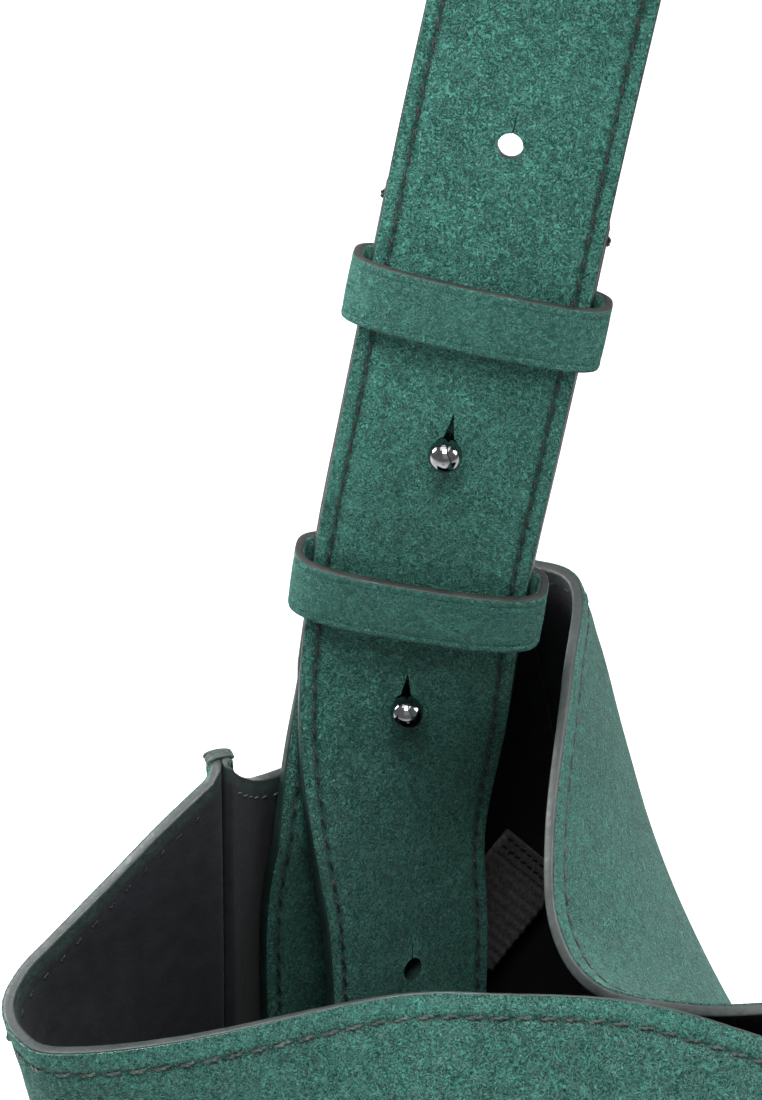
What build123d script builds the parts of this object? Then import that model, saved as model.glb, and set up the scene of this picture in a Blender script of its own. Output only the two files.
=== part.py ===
"""Bucket bag: four suede walls on a base, one wide shoulder strap that buttons over a sewn-in tab.

Millimetres. +Z is up, X runs from the tab end (-X) to the sewn end (+X) of the strap, and the origin
is the middle of the base, where the bag stands.
"""
from build123d import *
import math
import os

# ---- driving dimensions: walls and base -----------------------------------------------------------
SUEDE = 1.3                 # outer suede of a wall
LINING = 1.0                # lining bonded behind it
BASE_X = 102.0              # half length of the base between its corner seams
BASE_Y = 66.0               # half depth of the base between its corner seams
BASE_BOW_X = 7.0            # how far the short base edges bow outwards
BASE_BOW_Y = 14.0           # how far the long base edges bow outwards
WALL_BELLY = 6.0            # outward swell of the long walls at half height
FLARE_POWER = 4.0           # how soon a flaring wall spreads below its rim
HANG_POWER = 3.0            # how late a hanging wall spreads below its rim
BACK_CORNER_FLARE = 0.7     # share of flare at the two corners with the high rim
CORNER_STOP = 2.4           # each wall stops this far short of its corner line
SEAM_WIDTH = 4.2            # raised corner seam: both wall edges turned out and sewn together
SEAM_PROUD = 1.6
SEAM_START = 3.7            # its root, measured out from the corner line
SEAM_LEAN = 24.0            # at the rim the seam leans this far towards the gusset, degrees
SEAM_CHORD_LONG = 6.0       # the seam faces out of a chord between these lengths of its two walls
SEAM_CHORD_END = 16.0
SEAM_PEAK = 1.5             # the seam stands this far above the rim
BASE_SUEDE = 1.6
BASE_BOARD = 1.8            # stiffener between the base's suede and its lining
BASE_GAP = 0.1
BASE_INSET = 2.6            # base pieces sit this far inside the walls' bonded surface

# ---- driving dimensions: strap, tab and their fittings --------------------------------------------
STRAP_WIDTH = 40.0
STRAP_THICK = 2.7
BAND_SPACING = 7.0          # length of one straight facet of the strap
LAP_GAP = 0.3               # between the strap and the tab behind it
TWIST_ROOM = 1.6            # more room between them at the lower stud, where the strap still twists
HOLE_PITCH = 58.0           # along the strap, from hole to hole
TAIL_YAW = -5.0             # yaw of the strap's width at the loose tail, degrees
LAP_YAW = 43.0              # and along the lapped length and the arch
TWIST_FROM = -45.0          # stations between which the strap turns from one to the other
TWIST_TO = 20.0
TAIL_END = -87.5
TAB_TOP = 106.0

SWING_STATION = 56.0        # the strap swings about the line through this station at both ends
STATIC_TOP = 34.0           # top of the standing part of strap and tab
BAND_START = 50.0           # foot of the swinging part
FLEX_GAP = 0.4              # cut between a flexing length and its neighbours
TAIL_PIVOT = -10.0          # the loose tail swings about this station
TAIL_FLEX = 3.0             # half length of the flexing piece there

HOLE_DIAMETER = 4.6
SLIT_LENGTH = 5.0
SLIT_WIDTH = 0.8
BALL_DIAMETER = 6.3
BALL_RISE = 3.0             # ball centre above the strap's face
NECK_DIAMETER = 3.2
SCREW_DIAMETER = 2.6
SCREW_HOLE = 3.0
SCREW_HEAD = 7.0
SCREW_HEAD_THICK = 1.0
SCREW_SLOT = 0.8
CLEARANCE = 0.1             # between the fittings and the leather they sit on

KEEPER_HEIGHT = 12.0
KEEPER_THICK = 2.0
KEEPER_WIDTH = 47.0
KEEPER_DEPTH = 13.0
KEEPER_ROUND = 5.5
LOWER_KEEPER = 24.0         # stations of the two keepers' middles
UPPER_KEEPER = 85.0

WEBBING_WIDTH = 25.0
WEBBING_THICK = 1.4
WEBBING_LENGTH = 24.0
WEBBING_HEM = (-100.6, 40.6, 207.9)      # middle of its folded upper end
WEBBING_LEAN = 38.0                     # its run below level, degrees

# ---- rim outlines, walked from the tab end to the sewn end ----------------------------------------
FRONT_RIM = [(-89, -43, 275), (-89, -57, 268), (-89.4, -69, 260.5), (-88.8, -81, 254.5),
             (-87.8, -89, 251), (-84, -94.8, 248.5), (-77, -96.6, 247), (-70, -93, 246.5),
             (-59, -74, 247), (-44, -40, 249.5), (-32, -24, 250), (-17, -4, 248), (-1, 12, 242.5),
             (14, 20, 241), (32, 17, 245), (55, 0, 256), (78, -22, 271), (102, -35, 281)]
BACK_RIM = [(-102, 35, 281), (-87, 37, 283), (-68, 20, 279), (-50, 2, 265), (-37, -7, 254),
            (-25, -6.5, 247), (-14, 6, 243.5), (-6, 20, 242), (8, 44, 242), (26, 74, 244),
            (44, 92, 247), (62, 96.6, 250), (78, 91, 254), (87, 76, 260), (89, 58, 268), (89, 43, 275)]
TAB_GUSSET_RIM = [(-89, -43, 275), (-94, -36, 266.5), (-100, -27, 258.5), (-102.5, -14, 255),
                  (-103, 0, 254), (-103, 14, 257), (-103, 26, 267), (-102, 35, 281)]

# ---- strap middle, by station: 0 is the lower stud, upwards is positive ---------------------------
LOOSE_TAIL = [(-77.6, -10.4, 185), (-82.6, -5.7, 213.8), (-87.8, -3.5, 242.2)]
LAPPED = [(-90.2, -0.9, 271), (-88.4, 1.3, 299.8), (-85.6, 5.1, 328.5), (-85.6, 11.7, 356.7),
          (-88.2, 20.6, 384.2), (-92.2, 32.6, 415.8)]
SHOULDER = [(-93, 42, 450), (-83, 45, 492), (-56, 33, 531)]
APEX = (0, 0, 556)
TAB_FOOT = [(-98.4, -9.5, 146), (-98.1, -9.5, 175), (-97.5, -9.2, 201), (-96.8, -8.4, 235)]


def half_turn(point):
    """The same point on the other end of the bag, turned half round about Z."""
    return (-point[0], -point[1], point[2])


def turned(points):
    return [half_turn(point) for point in points]


# ---- curves ---------------------------------------------------------------------------------------
def smooth_step(value):
    """0 before 0, 1 after 1, and an even rise between them."""
    value = min(max(value, 0.0), 1.0)
    return value * value * (3 - 2 * value)


def smooth_line(points, steps=24):
    """Catmull-Rom curve through the points, as a dense list of vectors."""
    knots = [Vector(*point) for point in points]
    knots = [knots[0] * 2 - knots[1]] + knots + [knots[-1] * 2 - knots[-2]]
    line = []
    for a, b, c, d in zip(knots, knots[1:], knots[2:], knots[3:]):
        for step in range(steps):
            t = step / steps
            line.append((b * 2 + (c - a) * t + (a * 2 - b * 5 + c * 4 - d) * t ** 2
                         + (b * 3 - a - c * 3 + d) * t ** 3) * 0.5)
    return line + [knots[-2]]


class Path:
    """A curve that is read by its length."""

    def __init__(self, points, steps=24):
        self.line = smooth_line(points, steps)
        self.runs = [0.0]
        for a, b in zip(self.line, self.line[1:]):
            self.runs.append(self.runs[-1] + (b - a).length)
        self.length = self.runs[-1]
        self.knots = self.runs[::steps]

    def at(self, run):
        """Point at this length along the curve; past the ends it runs on straight."""
        last = len(self.line) - 2
        index = 0
        while index < last and self.runs[index + 1] < run:
            index += 1
        span = self.runs[index + 1] - self.runs[index]
        return self.line[index] + (self.line[index + 1] - self.line[index]) * ((run - self.runs[index]) / span)


def heading(path, run):
    """Unit direction of a path at this length along it."""
    return (path.at(run + 0.5) - path.at(run - 0.5)).normalized()


# ---- walls ----------------------------------------------------------------------------------------
def spread(t, flare):
    """How far a wall has gone from its rim outline to its base outline, t down from 0 to 1."""
    return (1 - flare) * t ** HANG_POWER + flare * (1 - (1 - t) ** FLARE_POWER)


class Wall:
    """One wall of the bag: its rim, its base edge, and how it spreads between them."""

    def __init__(self, rim, start, end, bow, start_flare, end_flare, is_long):
        self.rim = Path(rim)
        self.start = Vector(*start)
        self.end = Vector(*end)
        self.bow = Vector(*bow)
        self.flares = (start_flare, end_flare)
        self.is_long = is_long

    def point(self, u, t):
        top = self.rim.at(u * self.rim.length)
        foot = self.start * (1 - u) + self.end * u + self.bow * (4 * u * (1 - u))      # bowed base edge
        flare = self.flares[0] * (1 - u) + self.flares[1] * u
        swell = 0.0
        if self.is_long and 0 < u < 1:
            flare += (1 - flare) * math.sin(math.pi * u) ** 0.8
            swell = WALL_BELLY * math.sin(math.pi * u) * math.sin(math.pi * t)
        reach = spread(t, flare)
        point = top * (1 - reach) + foot * reach + self.bow.normalized() * swell
        return Vector(point.X, point.Y, top.Z * (1 - t))

    def sheet(self, columns, rows=12):
        """The bonded surface between the wall's suede and its lining."""
        stop = CORNER_STOP / self.rim.length
        grid = []
        for row in range(rows + 1):
            t = row / rows
            grid.append([self.point(stop + (1 - 2 * stop) * column / columns, t)
                         for column in range(columns + 1)])
        return Face.make_surface_from_array_of_points(grid, tol=0.05, min_deg=3, max_deg=6)


def thick_sheet(sheet, depth, towards):
    """Solid on the side of a sheet that `towards` points to at its middle."""
    sign = 1 if sheet.normal_at(sheet.center()).dot(towards) > 0 else -1
    return Solid.thicken(sheet, depth * sign)


def make_walls():
    """The four walls, by name, walked clockwise from the front."""
    front_tab = (-BASE_X, -BASE_Y, 0)
    back_tab = (-BASE_X, BASE_Y, 0)
    back_sewn = (BASE_X, BASE_Y, 0)
    front_sewn = (BASE_X, -BASE_Y, 0)
    high = BACK_CORNER_FLARE
    gusset_rim = TAB_GUSSET_RIM
    gusset_bow = (-BASE_BOW_X, 0, 0)
    return {"front_wall": Wall(FRONT_RIM, front_tab, front_sewn, (0, -BASE_BOW_Y, 0), 0, high, True),
            "back_wall": Wall(BACK_RIM, back_tab, back_sewn, (0, BASE_BOW_Y, 0), high, 0, True),
            "tab_gusset": Wall(gusset_rim, front_tab, back_tab, gusset_bow, 0, high, False),
            "sewn_gusset": Wall(turned(gusset_rim), back_sewn, front_sewn, half_turn(gusset_bow),
                                0, high, False)}


def make_wall_layers(walls, parts):
    for name, wall in walls.items():
        sheet = wall.sheet(72 if wall.is_long else 24)
        parts[name] = thick_sheet(sheet, SUEDE, wall.bow)
        parts[name + "_lining"] = thick_sheet(sheet, LINING, wall.bow * -1)


def make_corner_seam(wall, at_end, neighbour, neighbour_at_end):
    """Turned-out edges of two walls, sewn together: a ridge that runs down their corner."""
    sections = []
    for step in range(13):
        t = step / 12
        corner = wall.point(1 if at_end else 0, t)
        near_share = SEAM_CHORD_LONG / wall.rim.length
        far_share = SEAM_CHORD_END / neighbour.rim.length
        near = wall.point(1 - near_share if at_end else near_share, t)
        far = neighbour.point(1 - far_share if neighbour_at_end else far_share, t)
        chord = (far - near).normalized()
        out = Vector(chord.Y, -chord.X, 0)
        if out.dot(Vector(corner.X, 0, 0)) < 0:
            out = out * -1
        turn = math.copysign(SEAM_LEAN * (1 - t) ** 2, out.cross(far - corner).Z)
        out = out.rotate(Axis.Z, turn)
        middle = corner + out * (SEAM_START + SEAM_PROUD / 2) + Vector(0, 0, SEAM_PEAK * (1 - t))
        plane = Plane(origin=middle, x_dir=out, z_dir=(0, 0, 1))
        sections.append(plane * Rectangle(SEAM_PROUD, SEAM_WIDTH))
    return loft(sections, ruled=True)


def make_corner_seams(walls, parts):
    for end, front_at_end, back_at_end in (("tab", False, False), ("sewn", True, True)):
        gusset = walls[end + "_gusset"]
        is_tab = end == "tab"
        parts["corner_seam_front_" + end] = make_corner_seam(walls["front_wall"], front_at_end,
                                                             gusset, not is_tab)
        parts["corner_seam_back_" + end] = make_corner_seam(walls["back_wall"], back_at_end,
                                                            gusset, is_tab)


def base_outline():
    """Closed outline of the base pieces, just inside the walls."""
    x = BASE_X - BASE_INSET
    y = BASE_Y - BASE_INSET
    edges = [ThreePointArc((-x, -y), (0, -y - BASE_BOW_Y), (x, -y)),
             ThreePointArc((x, -y), (x + BASE_BOW_X, 0), (x, y)),
             ThreePointArc((x, y), (0, y + BASE_BOW_Y), (-x, y)),
             ThreePointArc((-x, y), (-x - BASE_BOW_X, 0), (-x, -y))]
    return make_face(Wire(edges))


def make_base(parts):
    level = 0.0
    for name, thick in (("base_panel", BASE_SUEDE), ("base_board", BASE_BOARD), ("base_lining", LINING)):
        parts[name] = Pos(0, 0, level) * extrude(base_outline(), thick)
        level += thick + BASE_GAP


# ---- strap and tab --------------------------------------------------------------------------------
class Frame:
    """A place on the strap: middle, direction along it, across it, and out of its inner face."""

    def __init__(self, point, along, yaw):
        across = Vector(math.sin(yaw), math.cos(yaw), 0)
        self.point = point
        self.along = along
        self.across = (across - along * across.dot(along)).normalized()
        self.out = self.across.cross(along)

    def plane(self, rise=0.0):
        """Plane that faces out of the strap, with its x axis across the strap."""
        return Plane(origin=self.point + self.out * rise, x_dir=self.across, z_dir=self.out)


def yaw_at(station):
    """Yaw of the strap's width, from the loose tail to the lapped length."""
    turn = smooth_step((station - TWIST_FROM) / (TWIST_TO - TWIST_FROM))
    return math.radians(TAIL_YAW + (LAP_YAW - TAIL_YAW) * turn)


STRAP = Path(LOOSE_TAIL + LAPPED + SHOULDER + [APEX]
             + turned((LAPPED[1:] + SHOULDER)[::-1]) + turned(TAB_FOOT[::-1]))
ZERO_RUN = STRAP.knots[len(LOOSE_TAIL)]
FAR_KNOT = len(LOOSE_TAIL) + len(LAPPED) + 2 * len(SHOULDER) + len(LAPPED) - 1
FAR_STATION = STRAP.knots[FAR_KNOT] - ZERO_RUN + HOLE_PITCH / 2     # station 0 as seen from the sewn end
STRAP_END = STRAP.length - ZERO_RUN


def strap_frame(station):
    """Frame of the strap's middle; the sewn end repeats the tab end, turned half round."""
    from_far = FAR_STATION - station
    yaw = yaw_at(station) if station < from_far else max(yaw_at(from_far), 0.0)
    run = ZERO_RUN + station
    return Frame(STRAP.at(run), heading(STRAP, run), yaw)


def lap_gap(station):
    """Room between the facing sides of strap and tab."""
    return LAP_GAP + TWIST_ROOM * (1 - smooth_step(station / TWIST_TO))


def behind_strap(station):
    """Middle of the tab where it lies along the strap."""
    frame = strap_frame(station)
    return tuple(frame.point - frame.out * (STRAP_THICK + lap_gap(station)))


TAB_STATIONS = [-3, 4, 15, 25, 35, 45, 55, 65, 75, 85, 95, 106, 116]
TAB = Path(TAB_FOOT + [behind_strap(station) for station in TAB_STATIONS])
TAB_ZERO_RUN = TAB.knots[len(TAB_FOOT)] - TAB_STATIONS[0]


def tab_frame(station):
    run = TAB_ZERO_RUN + station
    return Frame(TAB.at(run), heading(TAB, run), max(yaw_at(station), 0.0))


def make_band(frame_at, start, end):
    """Flat leather between two stations, as one twisted band of even thickness."""
    rows = max(4, math.ceil((end - start) / BAND_SPACING))
    sections = []
    for row in range(rows + 1):
        frame = frame_at(start + (end - start) * row / rows)
        section = Plane(origin=frame.point, x_dir=frame.across, z_dir=frame.along)
        sections.append(section * Rectangle(STRAP_WIDTH, STRAP_THICK))
    return loft(sections, ruled=True)


def keyhole(station):
    """Tool for a round hole with a short slit above it, through the strap."""
    plane = strap_frame(station).plane()
    hole = Cylinder(HOLE_DIAMETER / 2, 4 * STRAP_THICK)
    slit = Pos(0, SLIT_LENGTH / 2 + HOLE_DIAMETER / 4, 0) * Box(
        SLIT_WIDTH, SLIT_LENGTH + HOLE_DIAMETER / 2, 4 * STRAP_THICK)
    return plane * (hole + slit)


def screw_hole(station):
    plane = strap_frame(station).plane(-STRAP_THICK - lap_gap(station))
    return plane * Cylinder(SCREW_HOLE / 2, 2 * STRAP_THICK)


def make_strap(parts):
    lengths = {"strap_tail": (TAIL_END, TAIL_PIVOT - TAIL_FLEX),
               "strap_tail_flex": (TAIL_PIVOT - TAIL_FLEX + FLEX_GAP, TAIL_PIVOT + TAIL_FLEX - FLEX_GAP),
               "strap_lower": (TAIL_PIVOT + TAIL_FLEX, STATIC_TOP),
               "strap_tab_flex": (STATIC_TOP + FLEX_GAP, BAND_START - FLEX_GAP),
               "strap_band": (BAND_START, FAR_STATION - BAND_START),
               "strap_sewn_flex": (FAR_STATION - BAND_START + FLEX_GAP, FAR_STATION - STATIC_TOP - FLEX_GAP),
               "strap_sewn_end": (FAR_STATION - STATIC_TOP, STRAP_END)}
    for name, (start, end) in lengths.items():
        parts[name] = make_band(strap_frame, start, end)
    parts["strap_tail"] -= keyhole(-HOLE_PITCH)
    parts["strap_lower"] -= keyhole(0)
    parts["strap_band"] -= keyhole(HOLE_PITCH)
    parts["strap_band"] -= keyhole(2 * HOLE_PITCH)


def make_tab(parts):
    parts["tab_lower"] = make_band(tab_frame, -TAB_ZERO_RUN, STATIC_TOP) - screw_hole(0)
    parts["tab_flex"] = make_band(tab_frame, STATIC_TOP + FLEX_GAP, BAND_START - FLEX_GAP)
    parts["tab_upper"] = make_band(tab_frame, BAND_START, TAB_TOP) - screw_hole(HOLE_PITCH)


# ---- fittings -------------------------------------------------------------------------------------
def make_stud(station):
    """Ball on a neck that stands on the tab and pokes through the strap."""
    plane = strap_frame(station).plane()
    foot = -STRAP_THICK / 2 - lap_gap(station) + CLEARANCE
    centre = STRAP_THICK / 2 + BALL_RISE
    neck = Pos(0, 0, (foot + centre) / 2) * Cylinder(NECK_DIAMETER / 2, centre - foot)
    return plane * (neck + Pos(0, 0, centre) * Sphere(BALL_DIAMETER / 2))


def make_stud_screw(station):
    """Flat slotted screw that holds a stud from the back of the tab."""
    plane = strap_frame(station).plane()
    tip = -STRAP_THICK / 2 - lap_gap(station)
    seat = tip - STRAP_THICK - CLEARANCE
    shaft = Pos(0, 0, (tip + seat) / 2) * Cylinder(SCREW_DIAMETER / 2, tip - seat)
    head = Pos(0, 0, seat - SCREW_HEAD_THICK / 2) * Cylinder(SCREW_HEAD / 2, SCREW_HEAD_THICK)
    slot = Pos(0, 0, seat - SCREW_HEAD_THICK) * Box(SCREW_HEAD * 2, SCREW_SLOT, SCREW_HEAD_THICK)
    return plane * (shaft + head - slot)


def make_keeper(station):
    """Closed leather loop around strap and tab."""
    frame = strap_frame(station)
    middle = frame.point - frame.out * ((STRAP_THICK + LAP_GAP) / 2)
    plane = Plane(origin=middle, x_dir=frame.across, z_dir=frame.along)
    outer = RectangleRounded(KEEPER_WIDTH, KEEPER_DEPTH, KEEPER_ROUND)
    inner = RectangleRounded(KEEPER_WIDTH - 2 * KEEPER_THICK, KEEPER_DEPTH - 2 * KEEPER_THICK,
                             KEEPER_ROUND - KEEPER_THICK)
    return plane * (Pos(0, 0, -KEEPER_HEIGHT / 2) * extrude(outer - inner, KEEPER_HEIGHT))


def make_webbing():
    """Ribbed strap sewn across the lining of the tab end, its upper end folded over as a hem."""
    lean = math.radians(WEBBING_LEAN)
    run = Vector(0, -math.cos(lean), -math.sin(lean))
    middle = Vector(*WEBBING_HEM) + run * (WEBBING_LENGTH / 2)
    plane = Plane(origin=middle, x_dir=run, z_dir=(1, 0, 0))
    return plane * Box(WEBBING_LENGTH, WEBBING_WIDTH, WEBBING_THICK)


def make_fittings(parts):
    for name, station in (("lower", 0), ("upper", HOLE_PITCH)):
        parts[name + "_stud"] = make_stud(station)
        parts[name + "_stud_screw"] = make_stud_screw(station)
    parts["lower_keeper"] = make_keeper(LOWER_KEEPER)
    parts["upper_keeper"] = make_keeper(UPPER_KEEPER)
    parts["inner_webbing"] = make_webbing()


def main():
    parts = {}
    walls = make_walls()
    make_wall_layers(walls, parts)
    make_corner_seams(walls, parts)
    make_base(parts)
    make_strap(parts)
    make_tab(parts)
    make_fittings(parts)
    os.makedirs("parts", exist_ok=True)
    for name, shape in parts.items():
        export_step(shape, "parts/%s.step" % name)


if __name__ == "__main__":
    main()
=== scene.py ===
"""Looks of the bucket bag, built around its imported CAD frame.

The bag's outlines are in millimetres, as in its CAD source, and become metres where a mesh is made.
"""
import bisect
import math
import random

import bmesh
import bpy
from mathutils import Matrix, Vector, noise


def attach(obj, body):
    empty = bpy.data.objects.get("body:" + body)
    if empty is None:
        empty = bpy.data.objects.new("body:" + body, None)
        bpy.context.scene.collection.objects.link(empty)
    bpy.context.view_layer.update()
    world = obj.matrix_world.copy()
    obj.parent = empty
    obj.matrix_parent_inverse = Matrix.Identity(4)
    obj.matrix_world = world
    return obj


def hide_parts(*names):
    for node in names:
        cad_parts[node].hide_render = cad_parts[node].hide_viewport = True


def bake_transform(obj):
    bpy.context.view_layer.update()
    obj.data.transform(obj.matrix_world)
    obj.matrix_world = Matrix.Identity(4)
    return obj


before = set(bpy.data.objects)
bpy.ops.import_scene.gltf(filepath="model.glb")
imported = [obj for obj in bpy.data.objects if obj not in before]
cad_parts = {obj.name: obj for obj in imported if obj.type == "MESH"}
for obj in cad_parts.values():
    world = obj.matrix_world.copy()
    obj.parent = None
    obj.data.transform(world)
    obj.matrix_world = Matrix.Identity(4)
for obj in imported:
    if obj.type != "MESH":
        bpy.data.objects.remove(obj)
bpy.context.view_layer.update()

MM = 0.001
UP = Vector((0, 0, 1))
random.seed(7)

# ---- sizes: walls and base ----
SUEDE = 1.3
LINING = 1.0
BASE_X, BASE_Y = 102.0, 66.0
BASE_BOW_X, BASE_BOW_Y = 7.0, 14.0
WALL_BELLY = 6.0
FLARE_POWER, HANG_POWER = 4.0, 3.0
BACK_FLARE = 0.7
SEAM_CHORD_LONG, SEAM_CHORD_END = 6.0, 16.0
SEAM_PEAK = 0.4  # the corner seams stand this far above the rim
SEAM_LEAN = 42.0  # at the rim the seams lean this far towards their gussets, degrees
FLANGE_TIP = 3.9  # turned-out wall edges reach this far out of the corner line
FLANGE_ROOT = 2.5
FLANGE_HALF = 0.85  # from the seam's middle plane to a wall's bonded surface
TURN_START = 3.8  # a wall starts to turn outwards this far short of its corner
STITCH_DEPTHS = {"front_wall": 4.5, "back_wall": 3.3, "tab_gusset": 3.8, "sewn_gusset": 3.8}
WALL_PITCH = 4.4

# ---- sizes: strap, tab and keepers ----
STRAP_WIDTH = 40.0
STRAP_THICK = 2.7
TAB_WIDTH = 40.6
LAP_GAP = 0.3
TWIST_ROOM = 1.6
HOLE_PITCH = 58.0
TAIL_YAW, LAP_YAW = -5.0, 43.0
TWIST_FROM, TWIST_TO = -45.0, 20.0
TAIL_END = -87.5
TAB_TOP = 106.0
STATIC_TOP, BAND_START = 34.0, 50.0
TAIL_FREE, TAIL_HELD = -13.0, -5.0
STRAP_CUT = 24.0  # under the lower keeper, where the tail's mesh meets the strap's
STRAP_STITCH = 3.0  # the strap's stitch lines, in from its edges
STRAP_PITCH = 4.0
HOLE_RADIUS = 2.3
SLIT_TIP = 7.2
SLIT_FOOT, SLIT_WAIST = 0.95, 2.2  # an open slit's half width at the hole, and the height where it narrows
KEEPER_HEIGHT = 12.0
KEEPER_THICK = 2.0
KEEPER_HALF_WIDTH = 22.6  # of the keeper's middle line
KEEPER_HALF_DEPTH = 6.15
LOWER_KEEPER, UPPER_KEEPER = 24.0, 85.0

# ---- sizes: webbing ----
WEBBING_WIDTH, WEBBING_THICK, WEBBING_LENGTH = 25.0, 1.4, 24.0
WEBBING_HEM = (-100.6, 40.6, 207.9)
WEBBING_LEAN = 38.0

# ---- outlines, as in the CAD source ----
FRONT_RIM = [(-89, -43, 275), (-89, -57, 268), (-89.4, -69, 260.5), (-88.8, -81, 254.5),
             (-87.8, -89, 251), (-84, -94.8, 248.5), (-77, -96.6, 247), (-70, -93, 246.5),
             (-59, -74, 247), (-44, -40, 249.5), (-32, -24, 250), (-17, -4, 248), (-1, 12, 242.5),
             (14, 20, 241), (32, 17, 245), (55, 0, 256), (78, -22, 271), (102, -35, 281)]
BACK_RIM = [(-102, 35, 281), (-87, 37, 283), (-68, 20, 279), (-50, 2, 265), (-37, -7, 254),
            (-25, -6.5, 247), (-14, 6, 243.5), (-6, 20, 242), (8, 44, 242), (26, 74, 244),
            (44, 92, 247), (62, 96.6, 250), (78, 91, 254), (87, 76, 260), (89, 58, 268), (89, 43, 275)]
TAB_GUSSET_RIM = [(-89, -43, 275), (-94, -36, 266.5), (-100, -27, 258.5), (-102.5, -14, 255),
                  (-103, 0, 254), (-103, 14, 257), (-103, 26, 267), (-102, 35, 281)]
LOOSE_TAIL = [(-77.6, -10.4, 185), (-82.6, -5.7, 213.8), (-87.8, -3.5, 242.2)]
LAPPED = [(-90.2, -0.9, 271), (-88.4, 1.3, 299.8), (-85.6, 5.1, 328.5), (-85.6, 11.7, 356.7),
          (-88.2, 20.6, 384.2), (-92.2, 32.6, 415.8)]
SHOULDER = [(-93, 42, 450), (-83, 45, 492), (-56, 33, 531)]
APEX = (0, 0, 556)
TAB_FOOT = [(-98.4, -9.5, 146), (-98.1, -9.5, 175), (-97.5, -9.2, 201), (-96.8, -8.4, 235)]


# ---- curves ----
def smooth_step(value):
    """0 to 1 with an eased start and end."""
    value = min(max(value, 0.0), 1.0)
    return value * value * (3 - 2 * value)


def squared(value, power):
    """value to a power, with its sign kept: it squares off a round outline."""
    return math.copysign(abs(value) ** power, value)


def turned(points):
    """The points on the bag's other end, turned half round about Z."""
    return [(-x, -y, z) for x, y, z in points]


def runs_along(line):
    """The length of a line of points up to each of them."""
    runs = [0.0]
    for a, b in zip(line, line[1:]):
        runs.append(runs[-1] + (b - a).length)
    return runs


def step_at(runs, run):
    """Which step of a line a length falls in, and the share of that step."""
    index = min(max(bisect.bisect_right(runs, run) - 1, 0), len(runs) - 2)
    return index, (run - runs[index]) / (runs[index + 1] - runs[index])


class Path:
    """Catmull-Rom curve through points, read by its length."""

    def __init__(self, points, steps=24):
        knots = [Vector(point) for point in points]
        knots = [knots[0] * 2 - knots[1]] + knots + [knots[-1] * 2 - knots[-2]]
        self.line = []
        for a, b, c, d in zip(knots, knots[1:], knots[2:], knots[3:]):
            for step in range(steps):
                t = step / steps
                self.line.append((b * 2 + (c - a) * t + (a * 2 - b * 5 + c * 4 - d) * t ** 2
                                  + (b * 3 - a - c * 3 + d) * t ** 3) * 0.5)
        self.line.append(knots[-2])
        self.runs = runs_along(self.line)
        self.length = self.runs[-1]
        self.knots = self.runs[::steps]

    def at(self, run):
        index, share = step_at(self.runs, run)
        return self.line[index].lerp(self.line[index + 1], share)

    def heading(self, run):
        return (self.at(run + 0.5) - self.at(run - 0.5)).normalized()


# ---- meshes ----
def placed(name, data):
    """A new object in the scene."""
    piece = bpy.data.objects.new(name, data)
    bpy.context.scene.collection.objects.link(piece)
    return piece


def make_mesh(name, points, faces, materials, indices=None, attributes=None, sharp=60):
    """A piece from millimetre points. indices gives each face's material."""
    mesh = bpy.data.meshes.new(name)
    mesh.from_pydata([tuple(point * MM) for point in points], [], faces)
    for material in materials:
        mesh.materials.append(material)
    if indices:
        mesh.polygons.foreach_set("material_index", indices)
    for key, values in (attributes or {}).items():
        mesh.attributes.new(key, "FLOAT", "POINT").data.foreach_set("value", values)
    mesh.shade_smooth()
    mesh.set_sharp_from_angle(angle=math.radians(sharp))
    mesh.update()
    return placed(name, mesh)


def shell(front, back):
    """Points and faces of a closed skin between two grids of points, front facing outwards."""
    rows, columns = len(front), len(front[0])
    points = [point for row in front for point in row] + [point for row in back for point in row]
    offset = rows * columns
    faces = []
    for i in range(rows - 1):
        for j in range(columns - 1):
            a = i * columns + j
            faces.append((a, a + columns, a + columns + 1, a + 1))
            faces.append((a + offset, a + offset + 1, a + offset + columns + 1, a + offset + columns))
    border = ([j for j in range(columns)] + [i * columns + columns - 1 for i in range(1, rows)]
              + [(rows - 1) * columns + j for j in range(columns - 2, -1, -1)]
              + [i * columns for i in range(rows - 2, 0, -1)])
    for a, b in zip(border, border[1:] + border[:1]):
        faces.append((a, b, b + offset, a + offset))
    return points, faces


def tube(rings, closed=False):
    """Points and faces of a skin along rings of points, capped at its ends unless it closes on itself."""
    size = len(rings[0])
    points = [point for ring in rings for point in ring]
    faces = []
    count = len(rings)
    for i in range(count if closed else count - 1):
        a, b = i * size, ((i + 1) % count) * size
        for j in range(size):
            k = (j + 1) % size
            faces.append((a + j, a + k, b + k, b + j))
    if not closed:
        faces.append(tuple(range(size - 1, -1, -1)))
        faces.append(tuple(range((count - 1) * size, count * size)))
    return points, faces


def add_tube(points, faces, rings):
    """Join a capped tube to points and faces."""
    more_points, more_faces = tube(rings)
    faces += [tuple(index + len(points) for index in face) for face in more_faces]
    points += more_points


def circle(centre, a, b, radius, steps):
    """Ring of points in the plane of two directions."""
    return [centre + (a * math.cos(angle) + b * math.sin(angle)) * radius
            for angle in (math.tau * step / steps for step in range(steps))]


def fix_facing(piece):
    """The piece, a closed mesh, with its faces turned outwards."""
    work = bmesh.new()
    work.from_mesh(piece.data)
    bmesh.ops.recalc_face_normals(work, faces=work.faces)
    work.to_mesh(piece.data)
    work.free()
    return piece


def skinned(name, rings, materials, closed=False, **settings):
    """A closed piece along rings of points, facing outwards."""
    return fix_facing(make_mesh(name, *tube(rings, closed), materials, **settings))


def sheet(name, front, back, material, **attributes):
    """A closed piece between two grids of points, facing outwards."""
    return fix_facing(make_mesh(name, *shell(front, back), [material], attributes=attributes))


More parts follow.
